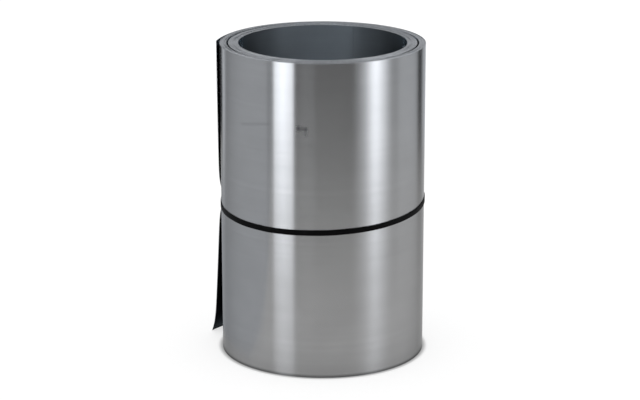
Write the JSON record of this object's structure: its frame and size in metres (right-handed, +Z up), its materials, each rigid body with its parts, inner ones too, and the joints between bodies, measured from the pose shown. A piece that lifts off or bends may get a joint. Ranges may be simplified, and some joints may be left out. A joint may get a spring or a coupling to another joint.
{
  "type": "metal sheet coil",
  "caption": "Coil of thin metal sheet standing on end, wound round an open bore with a loose outer edge, held by one narrow band.",
  "frame": {"origin": "on the bore's axis, at the level of the end that the coil stands on", "axes": "+Z up along the bore's axis, +X to the right and +Y away from the viewer as in the picture"},
  "size_m": [0.176, 0.1666, 0.254],
  "materials": {
    "sheet": "satin",
    "band": "matte"
  },
  "bodies": {
    "root": {"sheet_coil": "sheet", "band": "band"}
  },
  "joints": []
}
